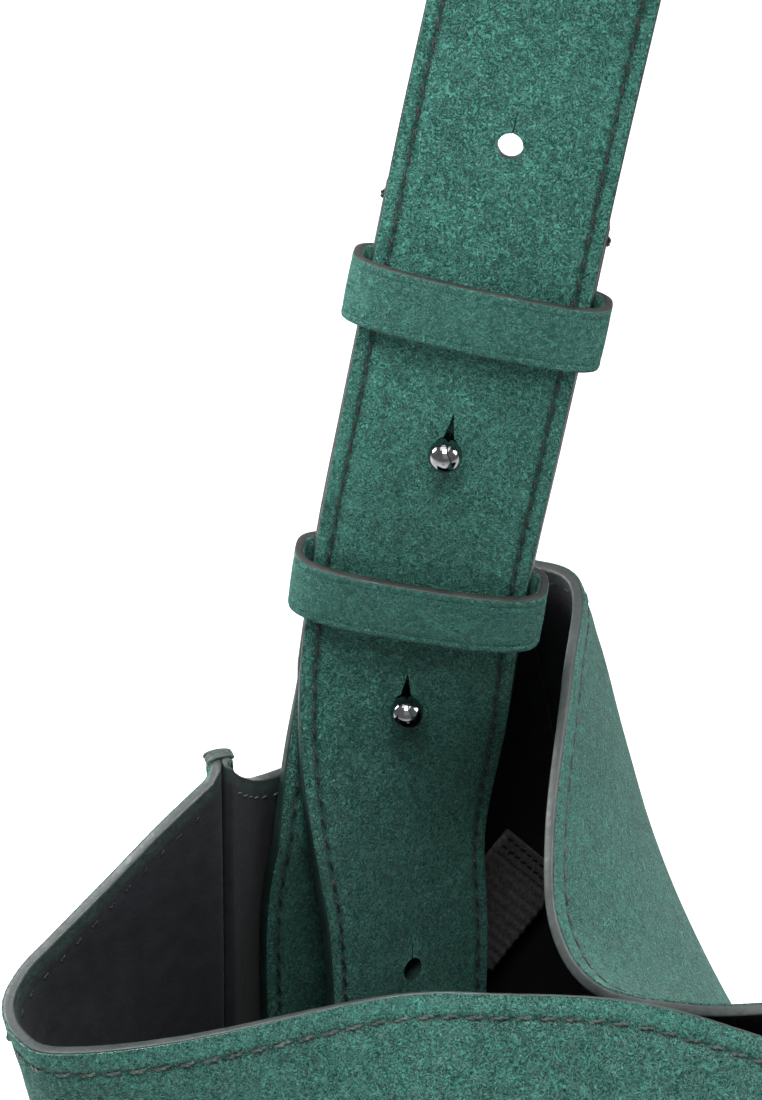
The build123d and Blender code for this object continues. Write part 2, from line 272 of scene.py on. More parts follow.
def applied(piece):
    """The piece with its modifiers turned into mesh."""
    graph = bpy.context.evaluated_depsgraph_get()
    mesh = bpy.data.meshes.new_from_object(piece.evaluated_get(graph))
    piece.modifiers.clear()
    piece.data = mesh
    return piece


# ---- materials ----
class Nodes:
    """A material's node tree, with short ways to add to it."""

    def __init__(self, name):
        self.material = bpy.data.materials.new(name)
        self.material.use_nodes = True
        self.tree = self.material.node_tree
        self.shader = self.tree.nodes["Principled BSDF"]
        self.place = self.add("ShaderNodeTexCoord").outputs["Object"]

    def add(self, kind, inputs=None, **settings):
        node = self.tree.nodes.new(kind)
        for key, value in settings.items():
            setattr(node, key, value)
        for key, value in (inputs or {}).items():
            self.put(node.inputs[key], value)
        return node

    def put(self, socket, value):
        """Link a socket, or set its value: three numbers are a colour."""
        if isinstance(value, bpy.types.NodeSocket):
            self.tree.links.new(value, socket)
        else:
            socket.default_value = (*value, 1.0) if isinstance(value, tuple) else value

    def grain(self, scale, detail=2.0, roughness=0.5, distortion=0.0, low=0.3, high=0.7, **spread):
        """Noise, with what lies between low and high spread over 0 to 1."""
        node = self.add("ShaderNodeTexNoise", {"Vector": self.place, "Scale": scale, "Detail": detail,
                                               "Roughness": roughness, "Distortion": distortion})
        return self.stretch(node.outputs["Fac"], low, high, **spread)

    def total(self, *parts):
        """Weighted sum of sockets."""
        value = 0.0
        for socket, weight in parts:
            value = self.math("ADD", value, self.math("MULTIPLY", socket, weight))
        return value

    def stretch(self, value, low, high, to_low=0.0, to_high=1.0):
        node = self.add("ShaderNodeMapRange", {"Value": value, "From Min": low, "From Max": high,
                                               "To Min": to_low, "To Max": to_high})
        return node.outputs["Result"]

    def math(self, operation, a, b):
        return self.add("ShaderNodeMath", {0: a, 1: b}, operation=operation).outputs[0]

    def mix(self, factor, a, b):
        """Blend of two colours."""
        return self.add("ShaderNodeMix", {"Factor": factor, 6: a, 7: b}, data_type="RGBA").outputs[2]

    def attribute(self, name):
        return self.add("ShaderNodeAttribute", attribute_name=name).outputs["Fac"]

    def bump(self, height, distance, strength=1.0, below=None):
        inputs = {"Height": height, "Distance": distance, "Strength": strength}
        if below is not None:
            inputs["Normal"] = below
        return self.add("ShaderNodeBump", inputs).outputs["Normal"]

    def finish(self, color, roughness, normal=None, **constants):
        """The material, with this surface. Constants are set on the shader itself."""
        self.put(self.shader.inputs["Base Color"], color)
        self.put(self.shader.inputs["Roughness"], roughness)
        if normal:
            self.put(self.shader.inputs["Normal"], normal)
        for key, value in constants.items():
            self.shader.inputs[key.replace("_", " ")].default_value = value
        return self.material


def suede_material(name, dark, light, sheen=0.3):
    """Napped suede: short fibres that lie every way, cloudy patches, and wear and painted shade where the
    mesh says so.
    """
    n = Nodes(name)
    fibres = n.grain(900, 2.0, 0.6, 2.8, 0.44, 0.58)
    strands = n.grain(1600, 1.0, 0.5, 4.0, 0.45, 0.58)
    tufts = n.grain(330, 3.0, 0.6, 1.2, 0.34, 0.66)
    clouds = n.grain(60, 3.0, 0.55)
    patches = n.grain(18, low=0.35, high=0.65)
    nap = n.total((fibres, 0.42), (strands, 0.3), (tufts, 0.14), (clouds, 0.09), (patches, 0.07))
    worn_and_shaded_nap = n.math("ADD", nap, n.attribute("wear"))
    color = n.mix(n.stretch(worn_and_shaded_nap, 0.2, 0.88), dark, light)
    normal = n.bump(tufts, 0.0005, 0.6)
    normal = n.bump(n.math("ADD", fibres, strands), 0.00035, 1.0, normal)
    return n.finish(color, 0.95, normal, Sheen_Weight=sheen, Sheen_Roughness=0.3,
                    Sheen_Tint=(0.68, 0.95, 0.87, 1.0), Specular_IOR_Level=0.04)


def lining_material():
    """Smooth near-black lining leather; a strip of dark green suede faces it along the rim."""
    n = Nodes("lining_leather")
    grain = n.add("ShaderNodeTexVoronoi", {"Vector": n.place, "Scale": 900.0}).outputs["Distance"]
    pores = n.stretch(grain, 0.1, 0.6)
    haze = n.grain(35, 3.0)
    lint = n.grain(1500, 1.0, low=0.78, high=0.82)
    leather = n.mix(haze, (0.0072, 0.0078, 0.0102), (0.0115, 0.0128, 0.016))
    leather = n.mix(n.math("MULTIPLY", lint, 0.4), leather, (0.06, 0.07, 0.07))
    fuzz = n.grain(900, 4.0, 0.6, 1.5, 0.35, 0.65)
    facing = n.mix(fuzz, (0.006, 0.012, 0.0115), (0.022, 0.042, 0.037))
    color = n.mix(n.attribute("facing"), leather, facing)
    rough = n.grain(260, to_low=0.5, to_high=0.66)
    return n.finish(color, rough, n.bump(pores, 0.00006, 0.5), Specular_IOR_Level=0.35,
                    Sheen_Weight=0.03, Sheen_Roughness=0.5)


def edge_material(name, dark, light, gloss):
    """Several coats of dark paint on cut leather, with brush ripples and small chips of shine."""
    n = Nodes(name)
    ripple = n.grain(420, 3.0, 0.6)
    tone = n.total((n.grain(85, low=0.35), 0.6), (n.grain(1100), 0.4))
    rough = n.stretch(ripple, 0.0, 1.0, 0.38, 0.58)
    return n.finish(n.mix(tone, dark, light), rough, n.bump(ripple, 0.00014, 0.5), Specular_IOR_Level=gloss)


def thread_material(name, dark, light):
    """Waxed, twisted thread."""
    n = Nodes(name)
    twist = n.grain(1400, 2.0, 0.5, 0.5)
    color = n.mix(n.total((twist, 0.5), (n.grain(160), 0.5)), dark, light)
    return n.finish(color, n.stretch(twist, 0.0, 1.0, 0.45, 0.65), n.bump(twist, 0.0002, 0.8),
                    Specular_IOR_Level=0.4)


def webbing_material():
    """Dull grey-black yarn."""
    n = Nodes("ribbed_webbing")
    yarn = n.grain(1300, 3.0, 0.6)
    color = n.mix(yarn, (0.06, 0.053, 0.057), (0.165, 0.148, 0.156))
    return n.finish(color, 0.8, n.bump(yarn, 0.0002, 0.7), Sheen_Weight=0.2, Sheen_Roughness=0.4)


def chrome_material(name, rough):
    """Plated metal with faint polishing marks."""
    n = Nodes(name)
    marks = n.grain(900)
    tone = n.mix(marks, (0.2, 0.205, 0.215), (0.27, 0.275, 0.285))
    return n.finish(tone, n.stretch(marks, 0.0, 1.0, rough, rough + 0.06),
                    n.bump(marks, 0.00001, 0.2), Metallic=1.0)


def board_material():
    """Pressed fibre."""
    n = Nodes("fibre_board")
    fibre = n.grain(500, 3.0)
    return n.finish(n.mix(fibre, (0.2, 0.17, 0.13), (0.34, 0.3, 0.24)), 0.9, n.bump(fibre, 0.0001, 0.6))


WALL_SUEDE = suede_material("wall_suede", (0.001, 0.029, 0.0225), (0.08, 0.335, 0.27), 0.45)
STRAP_SUEDE = suede_material("strap_suede", (0.006, 0.05, 0.04), (0.112, 0.42, 0.337))
KEEPER_SUEDE = suede_material("keeper_suede", (0.01, 0.075, 0.062), (0.082, 0.285, 0.23))
LINING_SKIN = lining_material()
RIM_PAINT = edge_material("rim_paint", (0.017, 0.023, 0.0225), (0.048, 0.058, 0.056), 0.45)
EDGE_PAINT = edge_material("strap_edge_paint", (0.0035, 0.009, 0.0075), (0.014, 0.032, 0.027), 0.25)
KEEPER_PAINT = edge_material("keeper_edge_paint", (0.011, 0.013, 0.012), (0.04, 0.044, 0.04), 0.3)
THREAD = thread_material("dark_thread", (0.0025, 0.0065, 0.0058), (0.026, 0.034, 0.031))
WALL_THREAD = thread_material("wall_thread", (0.004, 0.011, 0.0095), (0.075, 0.105, 0.094))
LINING_THREAD = thread_material("lining_thread", (0.002, 0.004, 0.004), (0.009, 0.015, 0.0135))
PALE_THREAD = thread_material("gusset_thread", (0.03, 0.042, 0.04), (0.12, 0.15, 0.145))
TACK_THREAD = thread_material("tack_thread", (0.01, 0.021, 0.018), (0.09, 0.115, 0.105))
WEBBING_CLOTH = webbing_material()
CHROME = chrome_material("polished_stud", 0.05)
SCREW_METAL = chrome_material("screw_metal", 0.16)
BOARD = board_material()


def dress(piece, body, slot, *nodes):
    """The piece rides on a body and stands for these CAD nodes, which are hidden. slot is not used."""
    if nodes:
        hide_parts(*nodes)
    if body:
        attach(piece, body)
    return piece


# ---- stitches ----
STITCH_STEPS = 9
STITCH_SIDES = 6
STITCH_SLANT = 10.0
STRAND_TWIST = 1.25  # turns of the two strands in one stitch
WALL_STITCH = 3.6  # long; the others are (long, wide)
LINING_STITCH, BAND_STITCH, HEM_STITCH = (2.2, 0.42), (3.1, 0.62), (2.1, 0.55)


def add_stitch(points, faces, place, along, normal, length, width, slant=STITCH_SLANT):
    """One stitch of two-ply thread that dives into the leather at both ends."""
    across = normal.cross(along).normalized()
    turn = math.radians(slant + random.uniform(-4.0, 4.0))
    run = along * math.cos(turn) + across * math.sin(turn)
    side = normal.cross(run).normalized()
    half = length / 2 * random.uniform(0.94, 1.04)
    phase = random.uniform(0.0, math.tau)
    ply = width * 0.3
    for strand in (0.0, math.pi):
        rings = []
        for ring in range(STITCH_STEPS + 1):
            share = 2 * ring / STITCH_STEPS - 1
            swirl = phase + strand + math.tau * STRAND_TWIST * ring / STITCH_STEPS
            taper = 1 - 0.55 * abs(share) ** 5
            centre = place + run * (half * share) + normal * (width * (0.26 - 0.8 * share ** 4))
            centre += (side * math.cos(swirl) + normal * math.sin(swirl)) * (ply * 0.62 * taper)
            rings.append(circle(centre, side, normal, ply * taper, STITCH_SIDES))
        add_tube(points, faces, rings)


def stitches(name, places, size, material=THREAD):
    """A seam's thread: places are (point, direction, normal), size is a stitch's length and width."""
    points, faces = [], []
    for place, along, normal in places:
        add_stitch(points, faces, place, along, normal, *size)
    return make_mesh(name, points, faces, [material])


# ---- walls ----
def spread(t, flare):
    """How far a wall has gone from its rim outline to its base outline, t down from 0 to 1."""
    return (1 - flare) * t ** HANG_POWER + flare * (1 - (1 - t) ** FLARE_POWER)


class Wall:
    """One wall of the bag: its rim, its base edge, and how it spreads between them."""

    def __init__(self, rim, start, end, bow, start_flare, end_flare, is_long):
        self.rim = Path(rim)
        self.start = Vector(start)
        self.end = Vector(end)
        self.bow = Vector(bow)
        self.flares = (start_flare, end_flare)
        self.is_long = is_long

    def point(self, u, t):
        top = self.rim.at(u * self.rim.length)
        foot = self.start * (1 - u) + self.end * u + self.bow * (4 * u * (1 - u))
        flare = self.flares[0] * (1 - u) + self.flares[1] * u
        swell = 0.0
        if self.is_long and 0 < u < 1:
            flare += (1 - flare) * math.sin(math.pi * u) ** 0.8
            swell = WALL_BELLY * math.sin(math.pi * u) * math.sin(math.pi * t)
        reach = spread(t, flare)
        point = top * (1 - reach) + foot * reach + self.bow.normalized() * swell
        return Vector((point.x, point.y, top.z * (1 - t)))


FRONT_TAB, BACK_TAB = (-BASE_X, -BASE_Y, 0), (-BASE_X, BASE_Y, 0)
BACK_SEWN, FRONT_SEWN = (BASE_X, BASE_Y, 0), (BASE_X, -BASE_Y, 0)
WALLS = {"front_wall": Wall(FRONT_RIM, FRONT_TAB, FRONT_SEWN, (0, -BASE_BOW_Y, 0), 0, BACK_FLARE, True),
         "back_wall": Wall(BACK_RIM, BACK_TAB, BACK_SEWN, (0, BASE_BOW_Y, 0), BACK_FLARE, 0, True),
         "tab_gusset": Wall(TAB_GUSSET_RIM, FRONT_TAB, BACK_TAB, (-BASE_BOW_X, 0, 0), 0, BACK_FLARE, False),
         "sewn_gusset": Wall(turned(TAB_GUSSET_RIM), BACK_SEWN, FRONT_SEWN, (BASE_BOW_X, 0, 0),
                             0, BACK_FLARE, False)}


class Corner:
    """Where two walls meet: the corner line, and the way their turned-out edges point."""

    def __init__(self, long_wall, long_at_end, gusset, gusset_at_end):
        self.long_wall, self.gusset = WALLS[long_wall], WALLS[gusset]
        self.corner = int(long_at_end)
        near, far = SEAM_CHORD_LONG / self.long_wall.rim.length, SEAM_CHORD_END / self.gusset.rim.length
        self.near = 1 - near if long_at_end else near
        self.far = 1 - far if gusset_at_end else far

    def place(self, t):
        """Corner point and outward direction."""
        corner = self.long_wall.point(self.corner, t)
        far = self.gusset.point(self.far, t)
        chord = (far - self.long_wall.point(self.near, t)).normalized()
        out = Vector((chord.y, -chord.x, 0)).normalized()
        if out.x * corner.x < 0:
            out = -out
        turn = math.copysign(math.radians(SEAM_LEAN) * (1 - t) ** 2, out.cross(far - corner).z)
        return corner, Vector((out.x * math.cos(turn) - out.y * math.sin(turn),
                               out.x * math.sin(turn) + out.y * math.cos(turn), 0))


CORNERS = {"front_tab": Corner("front_wall", False, "tab_gusset", False),
           "back_tab": Corner("back_wall", False, "tab_gusset", True),
           "back_sewn": Corner("back_wall", True, "sewn_gusset", False),
           "front_sewn": Corner("front_wall", True, "sewn_gusset", True)}
WALL_CORNERS = {"front_wall": ("front_tab", "front_sewn"), "back_wall": ("back_tab", "back_sewn"),
                "tab_gusset": ("front_tab", "back_tab"), "sewn_gusset": ("back_sewn", "front_sewn")}
NEAR_RIM = [0.0, 0.7, 1.5, 2.5, 3.3, 3.8, 4.15, 4.5, 4.85, 5.2, 5.7, 6.5, 8.0, 10.0, 12.5]
BODY_ROWS = 64
DEPTH_SAMPLES = 80
COLUMN_PITCH = 1.55
TURN_STEPS = 7
FLANGE_STEPS = 4
KNEE = 0.2  # the bend's control point, out of the corner line


def depth_shares(wall, u):
    """The t of each row of a column: close rows near the rim, even ones below."""
    runs = runs_along([wall.point(u, k / DEPTH_SAMPLES) for k in range(DEPTH_SAMPLES + 1)])
    below = runs[-1] - NEAR_RIM[-1]
    wanted = NEAR_RIM + [NEAR_RIM[-1] + below * k / BODY_ROWS for k in range(1, BODY_ROWS + 1)]
    return [sum(step_at(runs, run)) / DEPTH_SAMPLES for run in wanted]


def turn_out(start, corner, out, side, peak):
    """Points from where a wall starts to turn, round its corner and out along the seam."""
    root, tip, knee = (corner + out * reach + side * FLANGE_HALF
                       for reach in (FLANGE_ROOT, FLANGE_TIP, KNEE))
    line = []
    for s in (k / TURN_STEPS for k in range(1, TURN_STEPS + 1)):
        line.append(start * (1 - s) ** 2 + knee * (2 * s * (1 - s)) + root * s ** 2)
    line += [root.lerp(tip, k / FLANGE_STEPS) for k in range(1, FLANGE_STEPS + 1)]
    return [point + UP * (peak * smooth_step((k + 1) / len(line))) for k, point in enumerate(line)]


def wall_grid(name):
    """Rows of points on a wall's bonded surface, with its edges turned out at both corners."""
    wall = WALLS[name]
    columns = round(wall.rim.length / COLUMN_PITCH)
    begin = TURN_START / wall.rim.length
    us = [begin + (1 - 2 * begin) * k / columns for k in range(columns + 1)]
    shares = [depth_shares(wall, u) for u in us]
    grid = []
    for i in range(len(shares[0])):
        middle = [wall.point(u, shares[j][i]) for j, u in enumerate(us)]
        ends = []
        for corner_name, end, inward in zip(WALL_CORNERS[name], (0, -1), (1, -2)):
            t = shares[end][i]
            corner, out = CORNERS[corner_name].place(t)
            side = UP.cross(out)
            if side.dot(middle[inward] - corner) < 0:
                side = -side
            ends.append(turn_out(middle[end], corner, out, side, SEAM_PEAK * (1 - t)))
        grid.append(ends[0][::-1] + middle + ends[1])
    return grid


def grid_normals(grid, outward):
    """Unit normals of a grid of points, on the side that outward points to at its middle."""
    rows, columns = len(grid), len(grid[0])
    normals = []
    for i in range(rows):
        line = []
        for j in range(columns):
            down = grid[min(i + 1, rows - 1)][j] - grid[max(i - 1, 0)][j]
            along = grid[i][min(j + 1, columns - 1)] - grid[i][max(j - 1, 0)]
            line.append(down.cross(along).normalized())
        normals.append(line)
    if normals[rows // 2][columns // 2].dot(outward) < 0:
        normals = [[-normal for normal in line] for line in normals]
    return normals


def stitch_dip(distance, reach=0.55):
    """1 on a stitch line, falling to 0 beside it."""
    return math.exp(-(distance / reach) ** 2)


COUNTED_ROW = 7  # stitches are counted along this row
FAR_DOWN = 99.0  # stands for the depth of every row below NEAR_RIM
CALM_COLUMNS, CALM_DEPTH, CALM_ROWS = 14, 30, 6  # no waves near corners, rim and base
RUBBED_BAND = 6.0  # the nap is rubbed pale from the base to twice this height
GLUE_GAP = 0.03
WAVE_SHIFT = Vector((9, 4, 2))
GROOVE = 0.34  # how deep the front wall's stitches sink in


def make_wall(name):
    """Suede, lining, painted rim and thread of one wall."""
    grid = wall_grid(name)
    wall = WALLS[name]
    normals = grid_normals(grid, wall.bow)
    rows, columns = len(grid), len(grid[0])
    flange = TURN_STEPS + FLANGE_STEPS
    top_runs = runs_along(grid[COUNTED_ROW])
    stitch_depth = STITCH_DEPTHS[name]
    pull = 1.0 if name == "front_wall" else 0.5     # the front wall's stitches sink in most, and its stitch groove gets the most painted shade
    outer, inner, wear, facing = [], [], [], []
    for i in range(rows):
        depth = NEAR_RIM[i] if i < len(NEAR_RIM) else FAR_DOWN
        outer_row, inner_row = [], []
        for j in range(columns):
            point, normal = grid[i][j], normals[i][j]
            in_wall = flange <= j < columns - flange
            edge = smooth_step(min(j - flange, columns - 1 - flange - j) / CALM_COLUMNS) if in_wall else 0.0
            wave = noise.noise(point * 0.021) * 0.7 + noise.noise(point * 0.055 + WAVE_SHIFT) * 0.28
            wave *= edge * smooth_step(depth / CALM_DEPTH) * smooth_step((rows - 1 - i) / CALM_ROWS)
            beat = 0.6 + 0.4 * math.cos(math.tau * top_runs[j] / WALL_PITCH)
            dip = GROOVE * pull * stitch_dip(depth - stitch_depth) * beat
            puff = 0.16 * stitch_dip(depth - stitch_depth / 2, 1.3) + 0.12 * stitch_dip(depth - 8.0, 2.4)
            outer_row.append(point + normal * (SUEDE + wave - dip + puff))
            lining = LINING if in_wall else FLANGE_HALF - 0.04
            inner_row.append(point - normal * (lining - wave - 0.3 * dip))
            rubbed = smooth_step(1 - abs(point.z - RUBBED_BAND) / RUBBED_BAND)
            # painted shade darkens the nap along the stitch groove; it is also paler just under the rim and
            # rubbed pale near the base
            wear.append(-0.4 * pull * stitch_dip(depth - stitch_depth, 0.5)
                        + 0.1 * stitch_dip(depth - 2.2, 1.6) + 0.07 * rubbed)
            facing.append(1 - smooth_step((depth - 1.2) / 3.4))
        outer.append(outer_row)
        inner.append(inner_row)
    hidden = [0.0] * (rows * columns)
    suede = sheet(name + "_suede", outer, grid, WALL_SUEDE, wear=wear + hidden)
    dress(suede, "bag", "suede", name)
    glued = [[point - normal * GLUE_GAP for point, normal in zip(*pair)] for pair in zip(grid, normals)]
    lining = sheet(name + "_lining_leather", inner, glued, LINING_SKIN, facing=facing + facing)
    dress(lining, "bag", "lining", name + "_lining")
    make_rim_paint(name, outer, inner)
    make_wall_thread(name, outer, inner, normals, top_runs, flange)


RIM_SKIRT = 0.25
RIM_DOME = 0.42
RIM_OVERHANG = 0.04  # past the lining's face
RIM_SHY = 0.32  # short of the suede's face
RIM_SQUARENESS = 0.7


def make_rim_paint(name, outer, inner):
    """Rounded, painted edge over the cut rim."""
    rings = []
    for j in range(len(outer[0])):
        side = (outer[0][j] - inner[0][j]).normalized()
        front, back = outer[0][j] - side * RIM_SHY, inner[0][j] - side * RIM_OVERHANG
        middle = (front + back) / 2
        up = (outer[0][j] - outer[2][j]).normalized()
        up = (up - side * up.dot(side)).normalized()
        half = (front - back).length / 2
        ring = [middle + side * half - up * RIM_SKIRT]
        for k in range(11):
            angle = math.pi * k / 10
            x = squared(math.cos(angle), RIM_SQUARENESS)
            rise = RIM_DOME * squared(abs(math.sin(angle)), RIM_SQUARENESS)
            ring.append(middle + side * (half * x) + up * (rise + 0.05 * noise.noise(middle * 0.5)))
        ring.append(middle - side * half - up * RIM_SKIRT)
        rings.append(ring)
    dress(skinned(name + "_rim_paint", rings, [RIM_PAINT], sharp=70), "bag", "edge_paint")


def make_wall_thread(name, outer, inner, normals, runs, flange):
    """The rim's stitch line, seen on both faces, and the corner seams' lines."""
    row = NEAR_RIM.index(STITCH_DEPTHS[name])
    outside, inside = [], []
    first, last = runs[flange] + 2, runs[-flange - 1] - 2
    count = int((last - first) / WALL_PITCH)
    for k in range(count + 1):
        j, share = step_at(runs, first + (k + 0.5) * (last - first) / (count + 1))
        along = (outer[row][j + 1] - outer[row][j]).normalized()
        for places, line, way in ((outside, outer[row], 1), (inside, inner[row], -1)):
            places.append((line[j].lerp(line[j + 1], share), along, normals[row][j] * way))
    side_column = FLANGE_STEPS // 2
    for j in (side_column, len(runs) - 1 - side_column):
        line = [outer[i][j] for i in range(3, len(outer))]
        lengths = runs_along(line)
        for k in range(int(lengths[-1] / WALL_PITCH)):
            i, share = step_at(lengths, (k + 0.5) * WALL_PITCH)
            along = (line[i + 1] - line[i]).normalized()
            outside.append((line[i].lerp(line[i + 1], share), along, normals[i + 3][j]))
    width = 0.88 if name == "front_wall" else 0.6
    dress(stitches(name + "_thread", outside, (WALL_STITCH, width), WALL_THREAD), "bag", "suede")
    inner_thread = PALE_THREAD if "gusset" in name else LINING_THREAD
    dress(stitches(name + "_lining_thread", inside, LINING_STITCH, inner_thread), "bag", "lining")


PAINT_STEPS = 90
PAINT_CAP = 0.55  # the paint's own height over the top of a seam
PAINT_SKIRT = 0.9  # it starts this far short of the edges' tip
BEAD = 0.75  # how far its two beads bulge


def make_corner_paint(name):
    """Painted ends of the two turned-out edges: two rounded beads with a groove between them."""
    half = FLANGE_HALF + SUEDE + 0.08
    rings = []
    for t in (k / PAINT_STEPS for k in range(PAINT_STEPS + 1)):
        point, out = CORNERS[name].place(t)
        side = UP.cross(out)
        base = point + UP * (SEAM_PEAK * (1 - t) + (PAINT_CAP if t == 0 else 0.0))
        ring = [base + out * (FLANGE_TIP - PAINT_SKIRT) - side * half]
        for lobe in (-1, 1):
            for step in range(7):
                angle = math.pi * step / 6
                across = lobe * half / 2 - math.cos(angle) * half / 2
                rise = BEAD * math.sin(angle) ** 0.75 if 0 < step < 6 else 0.0
                ring.append(base + side * across + out * (FLANGE_TIP - 0.1 + rise))
        ring.append(base + out * (FLANGE_TIP - PAINT_SKIRT) + side * half)
        rings.append(ring)
    paint = skinned("corner_paint_" + name, rings, [RIM_PAINT], sharp=70)
    dress(paint, "bag", "edge_paint", "corner_seam_" + name)


TACK_WRAPS = 4
TACK_RADIUS = 0.4
TACK_LEG = 0.35
TACK_ARCH = 0.7


def make_corner_tack(name):
    """Thread wound over the top of a corner's turned-out edges."""
    point, out = CORNERS[name].place(0)
    side = UP.cross(out)
    half = FLANGE_HALF + SUEDE + 0.2
    arch = [(-half * math.cos(math.pi * k / 10), TACK_ARCH * math.sin(math.pi * k / 10)) for k in range(11)]
    line = [(-half, -TACK_LEG)] + arch + [(half, -TACK_LEG)]
    points, faces = [], []
    for wrap in range(TACK_WRAPS):
        reach = FLANGE_TIP + 0.3 - wrap * TACK_RADIUS * 1.5
        skew = random.uniform(-0.3, 0.3)
        thick = TACK_RADIUS * random.uniform(0.9, 1.1)
        rings = []
        for k, (x, z) in enumerate(line):
            ahead = line[min(k + 1, len(line) - 1)]
            behind = line[max(k - 1, 0)]
            way = (side * (ahead[0] - behind[0]) + UP * (ahead[1] - behind[1])).normalized()
            centre = point + out * (reach + skew * x / half) + side * x + UP * (z + SEAM_PEAK)
            rings.append(circle(centre, out, out.cross(way), thick, 8))
        add_tube(points, faces, rings)
    dress(fix_facing(make_mesh("corner_tack_" + name, points, faces, [TACK_THREAD])), "bag", "suede")


# ---- base ----
BASE_INSET = 2.7  # from the walls' bonded surface


def base_outline(steps=28):
    """Points round the base."""
    x, y = BASE_X - BASE_INSET, BASE_Y - BASE_INSET
    corners = [(-x, -y), (x, -y), (x, y), (-x, y)]
    bows = [(0, -BASE_BOW_Y), (BASE_BOW_X, 0), (0, BASE_BOW_Y), (-BASE_BOW_X, 0)]
    line = []
    for (ax, ay), (bx, by), (wx, wy) in zip(corners, corners[1:] + corners[:1], bows):
        for k in range(steps):
            s = k / steps
            swell = 4 * s * (1 - s)
            line.append(Vector((ax + (bx - ax) * s + wx * swell, ay + (by - ay) * s + wy * swell, 0)))
    return line


def make_base_layer(name, level, thick, material, slot, node, crown=0.0):
    """A base piece with eased edges and a slight crown, from closed outlines that shrink to its middle."""
    rim = base_outline()
    rings = []
    for share, height in ((0.3, 0.0), (0.9, 0.0), (0.99, 0.06), (1.0, 0.35), (1.0, thick - 0.35),
                          (0.99, thick - 0.06), (0.9, thick), (0.7, thick + crown * 0.5),
                          (0.45, thick + crown * 0.8), (0.2, thick + crown)):
        rings.append([point * share + UP * (level + height) for point in rim])
    dress(skinned(name, rings, [material]), "bag", slot, node)


def make_base():
    """Outer leather, stiffener and lining, one on the other."""
    make_base_layer("base_suede", 0.0, 1.6, WALL_SUEDE, "suede", "base_panel")
    make_base_layer("base_stiffener", 1.7, 1.8, BOARD, "board", "base_board")
    make_base_layer("base_lining_leather", 3.6, 1.0, LINING_SKIN, "lining", "base_lining", 0.5)


# ---- strap and tab ----
class Frame:
    """A place on the strap: middle, direction along it, across it, and out of its inner face."""

    def __init__(self, point, along, yaw):
        across = Vector((math.sin(yaw), math.cos(yaw), 0))
        self.point = point
        self.along = along
        self.across = (across - along * across.dot(along)).normalized()
        self.out = self.across.cross(along)

    def at(self, across, out, along=0.0):
        return self.point + self.across * across + self.out * out + self.along * along


def yaw_at(station):
    """The strap's turn about the vertical, which twists it into the bag."""
    turn = smooth_step((station - TWIST_FROM) / (TWIST_TO - TWIST_FROM))
    return math.radians(TAIL_YAW + (LAP_YAW - TAIL_YAW) * turn)


STRAP = Path(LOOSE_TAIL + LAPPED + SHOULDER + [APEX]
             + turned((LAPPED[1:] + SHOULDER)[::-1]) + turned(TAB_FOOT[::-1]))
ZERO_RUN = STRAP.knots[len(LOOSE_TAIL)]
FAR_KNOT = len(LOOSE_TAIL) + len(LAPPED) + 2 * len(SHOULDER) + len(LAPPED) - 1
FAR_STATION = STRAP.knots[FAR_KNOT] - ZERO_RUN + HOLE_PITCH / 2
STRAP_END = STRAP.length - ZERO_RUN


def strap_frame(station):
    """Place on the strap, by its length from the lower stud."""
    from_far = FAR_STATION - station
    yaw = yaw_at(station) if station < from_far else max(yaw_at(from_far), 0.0)
    run = ZERO_RUN + station
    return Frame(STRAP.at(run), STRAP.heading(run), yaw)


def lap_gap(station):
    """Room between strap and tab."""
    return LAP_GAP + TWIST_ROOM * (1 - smooth_step(station / TWIST_TO))


def behind_strap(station):
    """Where the tab's middle passes behind the strap."""
    here = strap_frame(station)
    return tuple(here.point - here.out * (STRAP_THICK + lap_gap(station)))


TAB_STATIONS = [-3, 4, 15, 25, 35, 45, 55, 65, 75, 85, 95, 106, 116]
TAB = Path(TAB_FOOT + [behind_strap(station) for station in TAB_STATIONS])
TAB_ZERO_RUN = TAB.knots[len(TAB_FOOT)] - TAB_STATIONS[0]


def tab_frame(station):
    """Place on the tab beside the same station of the strap."""
    run = TAB_ZERO_RUN + station
    return Frame(TAB.at(run), TAB.heading(run), max(yaw_at(station), 0.0))


FACE_COLUMNS = [0.963, 0.945, 0.92, 0.895, 0.875, 0.86, 0.85, 0.84, 0.825, 0.805,
                0.76, 0.68, 0.56, 0.42, 0.28, 0.13]
EDGE_STEPS = 8
EDGE_ROUND = 0.62


def band_profile(half_width, station, ease):
    """Ring of (across, out, kind) round a two-layer strap: kind 0 is suede and 1 is painted edge."""
    half = STRAP_THICK / 2
    line = half_width - STRAP_STITCH
    beat = 0.55 + 0.45 * math.cos(math.tau * station / STRAP_PITCH)
    across = [share * half_width for share in FACE_COLUMNS]
    across = across + [0.0] + [-a for a in across[::-1]]
    ring = []
    for side in (1, -1):
        for a in (across if side > 0 else across[::-1]):
            dip = 0.3 * stitch_dip(abs(a) - line, 0.5) * beat
            crown = 0.14 * (1 - (a / half_width) ** 2)
            ring.append((a * ease, side * (half - 0.12 - dip + crown), 0, abs(abs(a) - line)))
        for k in range(EDGE_STEPS + 1):
            angle = math.pi * k / EDGE_STEPS
            seam = 0.14 * math.exp(-((angle - math.pi / 2) / 0.16) ** 2)
            bulge = EDGE_ROUND * math.sin(angle) ** 0.8 if 0 < k < EDGE_STEPS else 0.0
            a = -side * (half_width - EDGE_ROUND + bulge - seam)
            kind = 1 if 0 < k < EDGE_STEPS - 1 else 0
            ring.append((a * ease, side * (half - 0.1) * math.cos(angle), kind, 9.0))
    return ring


def band_wave(here):
    """How far a band bulges out at a place along it."""
    return 0.22 * noise.noise(here.point * 0.035)


def end_ease(distance, radius, half_width):
    """Share of the width left near a rounded end."""
    if distance >= radius:
        return 1.0
    gone = radius - math.sqrt(max(radius ** 2 - (radius - distance) ** 2, 0.0))
    return 1 - gone / half_width


